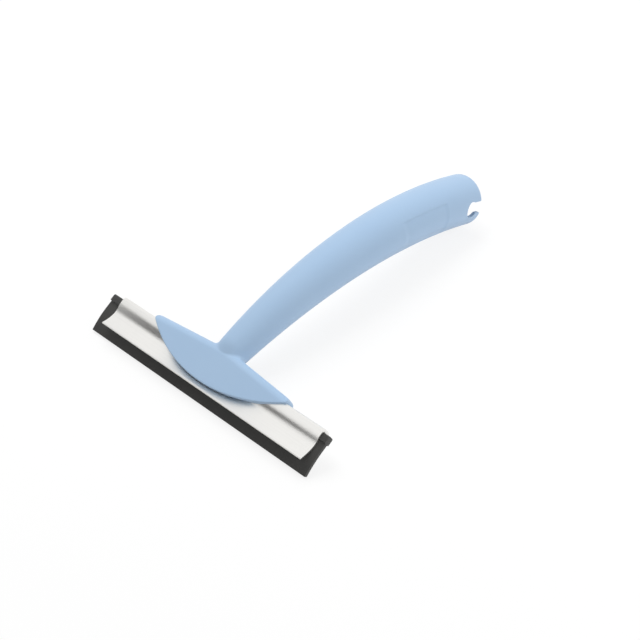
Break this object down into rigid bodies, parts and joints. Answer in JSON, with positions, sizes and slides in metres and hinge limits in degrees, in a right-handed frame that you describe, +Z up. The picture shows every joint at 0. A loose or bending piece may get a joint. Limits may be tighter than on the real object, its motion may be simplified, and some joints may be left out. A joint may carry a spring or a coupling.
{
  "type": "window squeegee",
  "caption": "Hand squeegee for windows: a moulded hollow grip whose arched head holds an aluminium channel with a black rubber blade.",
  "frame": {"origin": "on the table under the middle of the squeegee, which stands on its rubber lip and on the end of its grip", "axes": "+X along the blade, +Y from the blade to the grip's open end, +Z up from the table"},
  "size_m": [0.2, 0.2784, 0.0547],
  "materials": {
    "moulded_grip": "satin light blue moulding",
    "channel_metal": "fine satin, extruded",
    "blade_rubber": "smooth matte black"
  },
  "bodies": {
    "handle": {"handle": "moulded_grip"},
    "channel": {"blade_channel": "channel_metal"},
    "blade": {"rubber_blade": "blade_rubber"}
  },
  "joints": [
    {"name": "channel_slide", "type": "slide", "parent": "handle", "child": "channel", "axis": [1, 0, 0], "range_m": [-0.155, 0.155]},
    {"name": "blade_slide", "type": "slide", "parent": "channel", "child": "blade", "axis": [1, 0, 0], "range_m": [-0.195, 0.195]}
  ]
}
